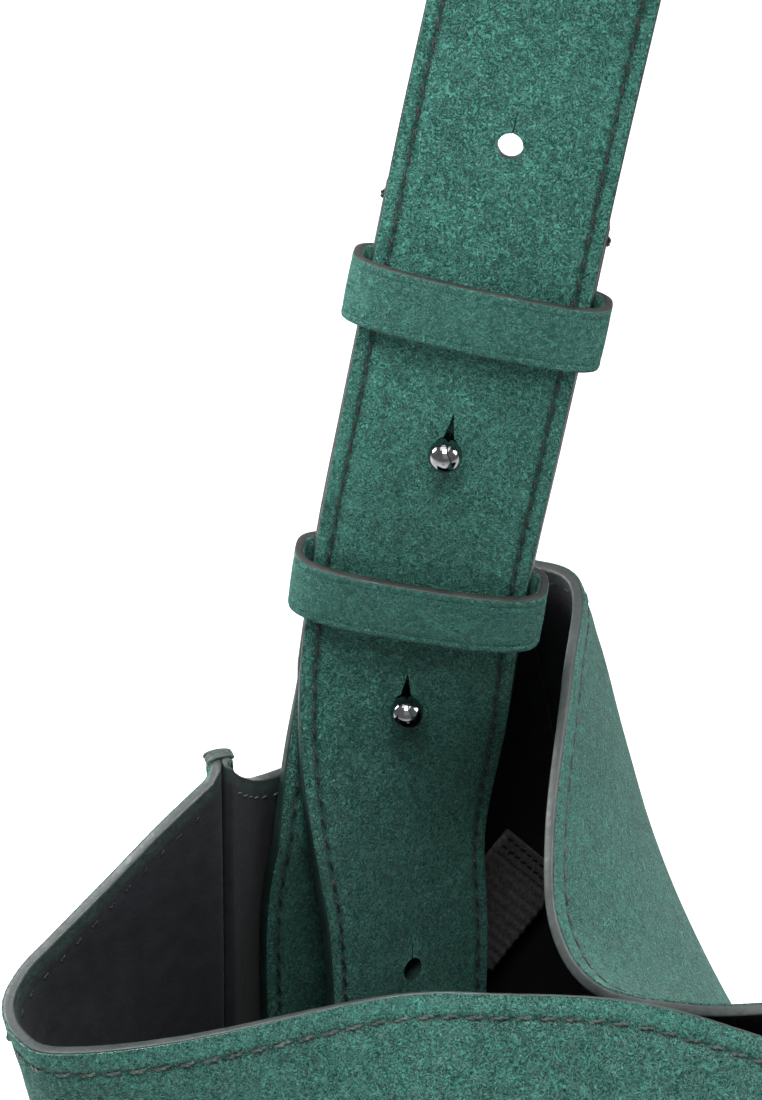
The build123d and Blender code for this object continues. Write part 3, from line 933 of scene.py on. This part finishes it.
INNER_SHADE = 0.22  # painted shade: how much darker strap and tab are coloured where they lie inside the bag, standing in for its shadow
SHADE_TOP, SHADE_RUN = 312.0, 70.0


def make_band(name, frame_at, start, end, half_width, round_start=0.0, round_end=0.0):
    """A length of strap as one closed mesh, not yet on a body."""
    step = STRAP_PITCH / 4
    count = max(4, round((end - start) / step))
    stations = [start + (end - start) * k / count for k in range(count + 1)]
    if round_start:
        stations = [start, start + 0.15, start + 0.4] + stations[1:]
    if round_end:
        stations = stations[:-1] + [end - 0.4, end - 0.15, end]
    rings, wear, kinds = [], [], None
    for station in stations:
        ease = min(end_ease(station - start, round_start, half_width),
                   end_ease(end - station, round_end, half_width))
        here = frame_at(station)
        ring = band_profile(half_width, station, ease)
        kinds = [kind for _, _, kind, _ in ring]
        wave = band_wave(here)
        rings.append([here.at(a, o + wave) for a, o, _, _ in ring])
        # painted shade: below SHADE_TOP the colour darkens, as the bag's shadow would
        inside_bag_shade = -INNER_SHADE * smooth_step((SHADE_TOP - here.point.z) / SHADE_RUN)
        # painted shade darkens the nap along the stitch lines' grooves; it is a little paler just beside them
        wear += [inside_bag_shade - 0.45 * stitch_dip(d, 0.48) + 0.06 * stitch_dip(d - 1.6, 0.7)
                 for _, _, _, d in ring]
    indices = kinds * (len(rings) - 1) + [1, 1]
    return skinned(name, rings, [STRAP_SUEDE, EDGE_PAINT], indices=indices, attributes={"wear": wear},
                   sharp=55)


CUT_REACH = 4  # cutters stand out of both faces
GROOVE_DEPTH = 0.55


def keyhole_cutter(station, opened):
    """Closed tool for a round hole, with its slit gaping above it where a stud is in the hole."""
    foot = SLIT_FOOT if opened else 0.0
    outline = []
    first = math.asin(foot / HOLE_RADIUS)
    for k in range(33 if opened else 32):
        angle = math.pi / 2 + first + (math.tau - 2 * first) * k / 32
        outline.append((HOLE_RADIUS * math.cos(angle), HOLE_RADIUS * math.sin(angle)))
    if opened:
        waist = HOLE_RADIUS + SLIT_WAIST
        outline += [(foot * 0.5, waist), (0.04, SLIT_TIP), (-0.04, SLIT_TIP), (-foot * 0.5, waist)]
    return strap_cutter(station, outline, -CUT_REACH, CUT_REACH)


def strap_cutter(station, outline, low, high):
    """Closed tool with this outline, from low to high out of the strap's middle."""
    here = strap_frame(station)
    rings = [[here.at(x, out, y) for x, y in outline] for out in (low, high)]
    return skinned("cutter", rings, [STRAP_SUEDE, EDGE_PAINT], indices=[1] * (len(outline) + 2))


def closed_slits(station):
    """Tools for a slit that has closed up: a fine groove in each face of the strap."""
    outline = [(-0.16, HOLE_RADIUS - 0.4), (0.16, HOLE_RADIUS - 0.4), (0.02, SLIT_TIP), (-0.02, SLIT_TIP)]
    floor = STRAP_THICK / 2 - GROOVE_DEPTH
    return [strap_cutter(station, outline, floor, CUT_REACH),
            strap_cutter(station, outline, -CUT_REACH, -floor)]


def cut(piece, cutters):
    """The piece with the cutters taken out of it."""
    for cutter in cutters:
        tool = piece.modifiers.new("cut", "BOOLEAN")
        tool.operation = "DIFFERENCE"
        tool.solver = "EXACT"
        tool.object = cutter
    applied(piece)
    for cutter in cutters:
        bpy.data.objects.remove(cutter)
    piece.data.shade_smooth()
    piece.data.set_sharp_from_angle(angle=math.radians(50))
    return piece


def both_faces(here, across, along, half, wave=0.0):
    """Stitch places on a band's two faces."""
    return [(here.at(across, side * half + wave), along, here.out * side) for side in (-1, 1)]


def band_stitches(frame_at, start, end, half_width, skip_ends=2.5):
    """Stitch places along both edges of both faces of a band."""
    places = []
    first = math.ceil((start + skip_ends) / STRAP_PITCH - 0.5)
    last = math.floor((end - skip_ends) / STRAP_PITCH - 0.5)
    for k in range(first, last + 1):
        here = frame_at((k + 0.5) * STRAP_PITCH)
        for across in (-half_width + STRAP_STITCH, half_width - STRAP_STITCH):
            places += both_faces(here, across, here.along, STRAP_THICK / 2 - 0.16, band_wave(here))
    return places


def cross_stitches(frame_at, station, half_width):
    """A row of stitches across a band, on both faces."""
    here = frame_at(station)
    count = int((half_width - STRAP_STITCH) * 2 / STRAP_PITCH)
    places = []
    for k in range(count):
        across = (k + 0.5 - count / 2) * STRAP_PITCH
        places += both_faces(here, across, here.across, STRAP_THICK / 2 + 0.02)
    return places


def level_of(station):
    """The strap's height at a station, as a point in metres."""
    return UP * (strap_frame(station).point.z * MM)


SWINGS = {"strap": (level_of(STATIC_TOP - 1.5), level_of(BAND_START + 3.0)),
          "tail": (level_of(TAIL_HELD), level_of(TAIL_FREE))}


def swing(piece, body, *nodes):
    """The piece, with its transform baked in, stands for these CAD nodes and goes on no body. body is not
    used.
    """
    dress(piece, None, "strap_suede", *nodes)
    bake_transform(piece)


def sew(name, body, places):
    """A band's thread, with its transform baked in."""
    swing(stitches(name, places, BAND_STITCH), body)


SEWN_ROWS = (3, 33)  # rows of stitches hold the sewn ends this far from them


def make_strap():
    """Shoulder strap with its keyholes, and its loose end as a piece of its own."""
    half = STRAP_WIDTH / 2
    strap = make_band("shoulder_strap", strap_frame, STRAP_CUT, STRAP_END, half)
    cut(strap, [keyhole_cutter(HOLE_PITCH, True), keyhole_cutter(2 * HOLE_PITCH, False)]
        + closed_slits(2 * HOLE_PITCH))
    swing(strap, "strap", "strap_tab_flex", "strap_band", "strap_sewn_flex", "strap_sewn_end")
    places = band_stitches(strap_frame, STRAP_CUT, STRAP_END, half)
    for inset in SEWN_ROWS:
        places += cross_stitches(strap_frame, STRAP_END - inset, half)
    sew("shoulder_strap_thread", "strap", places)

    tail = make_band("strap_tail_end", strap_frame, TAIL_END, STRAP_CUT, half, round_start=7.0)
    cut(tail, [keyhole_cutter(-HOLE_PITCH, False), keyhole_cutter(0, True)] + closed_slits(-HOLE_PITCH))
    swing(tail, "tail", "strap_tail", "strap_tail_flex", "strap_lower")
    places = band_stitches(strap_frame, TAIL_END + STRAP_STITCH, STRAP_CUT, half)
    places += cross_stitches(strap_frame, TAIL_END + STRAP_STITCH, half - 4)
    sew("strap_tail_thread", "tail", places)


NUB_SIZE = 1.1


def make_tab():
    """Sewn-in tab, with a bar tack on each side of its free end."""
    half = TAB_WIDTH / 2
    tab = make_band("sewn_in_tab", tab_frame, -TAB_ZERO_RUN, TAB_TOP, half, round_end=2.0)
    swing(tab, "strap", "tab_lower", "tab_flex", "tab_upper")
    places = band_stitches(tab_frame, -TAB_ZERO_RUN, TAB_TOP, half)
    places += cross_stitches(tab_frame, TAB_TOP - STRAP_STITCH, half)
    for inset in SEWN_ROWS:
        places += cross_stitches(tab_frame, inset - TAB_ZERO_RUN, half)
    sew("sewn_in_tab_thread", "strap", places)
    here = tab_frame(TAB_TOP - 4.5)
    points, faces = [], []
    for side in (-1, 1):
        add_stitch(points, faces, here.at(side * (half - 0.15), 0), here.along, here.across * side,
                   2 * NUB_SIZE, NUB_SIZE, 0.0)
    dress(make_mesh("tab_bar_tacks", points, faces, [THREAD]), "strap", "strap_suede")


# ---- keepers ----
KEEPER_SQUARENESS = 3.6
KEEPER_STEPS = 112
KEEPER_FACE = [(0.9, 1.02), (0.81, 1.0), (0.77, 0.95), (0.74, 0.86), (0.71, 0.95), (0.66, 1.0),
               (0.5, 1.03), (0.25, 1.06)]
KEEPER_PROFILE = ([(0.975, 0.9)] + KEEPER_FACE + [(0.0, 1.07)] + [(-z, r) for z, r in KEEPER_FACE[::-1]]
                  + [(-0.975, 0.9), (-1.0, 0.6), (-1.02, 0.0), (-1.0, -0.6), (-0.93, -1.0), (-0.5, -1.0),
                     (0.0, -1.0), (0.5, -1.0), (0.93, -1.0), (1.0, -0.6), (1.02, 0.0), (1.0, 0.6)])
PRESSED_LINE = 0.74  # where the profile dips, as a share of its height
KEEPER_PAINTED = 0.97  # beyond this share of its height a keeper's skin is painted edge


def keeper_outline(angle):
    """A point of the loop's middle line, seen along the strap."""
    power = 2 / KEEPER_SQUARENESS
    return (KEEPER_HALF_WIDTH * squared(math.cos(angle), power),
            KEEPER_HALF_DEPTH * squared(math.sin(angle), power))


def make_keeper(name, station):
    """Closed leather loop with painted edges and a pressed line beside each of them."""
    here = strap_frame(station)
    middle = here.point - here.out * ((STRAP_THICK + LAP_GAP) / 2)
    rings = []
    for k in range(KEEPER_STEPS):
        angle = math.tau * k / KEEPER_STEPS
        (x, y), (x0, y0), (x1, y1) = (keeper_outline(angle + step) for step in (0.0, -0.02, 0.02))
        way = Vector((y1 - y0, x0 - x1)).normalized()
        bow = 0.9 * (1 - (x / KEEPER_HALF_WIDTH) ** 2) * (1 if y > 0 else -0.4)
        centre = middle + here.across * x + here.out * (y + bow)
        outwards = here.across * way.x + here.out * way.y
        wave = 0.12 * noise.noise(centre * 0.12)
        rings.append([centre + here.along * (KEEPER_HEIGHT / 2 * z) + outwards * (KEEPER_THICK / 2 * r + wave)
                      for z, r in KEEPER_PROFILE])
    heights = [abs(z) for z, _ in KEEPER_PROFILE]
    painted = [int(min(pair) > KEEPER_PAINTED) for pair in zip(heights, heights[1:] + heights[:1])]
    # painted shade: darker in the pressed lines and on the loop's inner face against the strap, a little
    # lighter on its outer face
    wear = [-0.16 if abs(z) == PRESSED_LINE else 0.06 * r for z, r in KEEPER_PROFILE]
    piece = skinned(name + "_loop", rings, [KEEPER_SUEDE, KEEPER_PAINT], closed=True, sharp=70,
                    indices=painted * KEEPER_STEPS, attributes={"wear": wear * KEEPER_STEPS})
    dress(piece, name, "strap_suede", name)


# ---- webbing ----
RIB_PITCH = 2.0
HEM_DEPTH = 4.5
HEM_ROWS = (1.4, 3.2)
RIB_DEPTH = 0.22


def make_webbing():
    """Ribbed webbing with a sewn hem at its upper end."""
    lean = math.radians(WEBBING_LEAN)
    run, face = Vector((0, -math.cos(lean), -math.sin(lean))), Vector((1, 0, 0))
    across = face.cross(run)
    start = Vector(WEBBING_HEM)
    half = WEBBING_THICK / 2
    rings = []
    count = int(WEBBING_LENGTH / (RIB_PITCH / 8))
    for k in range(count + 1):
        s = WEBBING_LENGTH * k / count
        rib = RIB_DEPTH * (math.cos(math.tau * s / RIB_PITCH) - 1)
        hem = 1 - smooth_step((s - HEM_DEPTH) / 0.6)
        rib = rib * (1 - hem) - sum(0.3 * stitch_dip(s - row, 0.4) for row in HEM_ROWS)
        thick = half * (0.62 + 0.38 * hem) + rib * 0.6
        thick *= smooth_step((s + 0.3) / 0.9) * 0.5 + 0.5
        ring = [(share, thick - (0.35 if abs(share) == 1.0 else 0.0))
                for share in (-1.0, -0.985, -0.9, -0.5, 0.0, 0.5, 0.9, 0.985, 1.0)]
        ring += [(share, -half * 0.6) for share in (1.0, 0.9, 0.0, -0.9, -1.0)]
        rings.append([start + run * s + across * (share * WEBBING_WIDTH / 2) + face * out
                      for share, out in ring])
    piece = skinned("webbing_band", rings, [WEBBING_CLOTH], sharp=75)
    dress(piece, "bag", "webbing", "inner_webbing")
    places = []
    for s in HEM_ROWS:
        for k in range(9):
            place = start + run * s + across * ((k - 4) * 2.6) + face * (half - 0.12)
            places.append((place, across, face))
    dress(stitches("webbing_thread", places, HEM_STITCH, LINING_THREAD), "bag", "webbing")


# ---- studs ----
def finish_studs():
    """Metal on the CAD's own studs and screws."""
    for name in ("lower_stud", "upper_stud", "lower_stud_screw", "upper_stud_screw"):
        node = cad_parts[name]
        node.data.materials.clear()
        node.data.materials.append(SCREW_METAL if name.endswith("screw") else CHROME)


# ---- stage ----
CAMERA_AZIMUTH, CAMERA_ELEVATION = 53.0, 35.0
CAMERA_DISTANCE = 0.9
CAMERA_LENS = 162.0
CAMERA_AIM = Vector((-0.0893, -0.0071, 0.3083))
WORLD_STRENGTH = 0.33
LIGHTS = [("left", (-1.35, -0.75, 0.95), 34, 0.7), ("right", (0.75, 1.2, 1.05), 15, 0.8),
          ("top", (-0.2, 0.15, 2.6), 56, 2.4), ("upper", (0.12, -0.2, 0.92), 5.4, 0.3),
          ("fill", (0.72, -0.62, 1.05), 0.7, 0.8)]      # name, place, power, size


def point_from(thing, place, way):
    """Put a camera or light at a place, looking this way."""
    thing.location = place
    thing.rotation_mode = "QUATERNION"
    thing.rotation_quaternion = way.to_track_quat("-Z", "Y")


def make_camera():
    """Long lens at the photograph's angle."""
    azimuth, elevation = math.radians(CAMERA_AZIMUTH), math.radians(CAMERA_ELEVATION)
    back = Vector((math.sin(azimuth) * math.cos(elevation), -math.cos(azimuth) * math.cos(elevation),
                   math.sin(elevation)))
    data = bpy.data.cameras.new("camera")
    data.lens = CAMERA_LENS
    data.sensor_width = 36
    data.clip_start = 0.01
    data.clip_end = 50
    camera = placed("camera", data)
    point_from(camera, CAMERA_AIM + back * CAMERA_DISTANCE, -back)
    bpy.context.scene.camera = camera


def make_light(name, place, power, size):
    """Square light that shines at what the camera looks at."""
    data = bpy.data.lights.new(name, "AREA")
    data.energy = power
    data.size = size
    point_from(placed(name, data), place, CAMERA_AIM - Vector(place))


def make_stage():
    """Even world light, a pale floor and the soft lights."""
    world = bpy.data.worlds.new("studio")
    bpy.context.scene.world = world
    world.use_nodes = True
    background = world.node_tree.nodes["Background"]
    background.inputs["Color"].default_value = (1, 1, 1, 1)
    background.inputs["Strength"].default_value = WORLD_STRENGTH
    n = Nodes("pale_floor")
    n.finish(n.mix(n.grain(60), (0.9, 0.9, 0.9), (0.93, 0.93, 0.93)), 0.7)
    mesh = bpy.data.meshes.new("floor")
    mesh.from_pydata([(-4, -4, 0), (4, -4, 0), (4, 4, 0), (-4, 4, 0)], [], [(0, 1, 2, 3)])
    mesh.materials.append(n.material)
    placed("floor", mesh)
    for light in LIGHTS:
        make_light(*light)
    bpy.context.scene.view_settings.view_transform = "Standard"


make_camera()
make_stage()
for wall_name in WALLS:
    make_wall(wall_name)
for corner_name in CORNERS:
    make_corner_paint(corner_name)
    make_corner_tack(corner_name)
make_base()
make_strap()
make_tab()
make_keeper("lower_keeper", LOWER_KEEPER)
make_keeper("upper_keeper", UPPER_KEEPER)
make_webbing()
finish_studs()
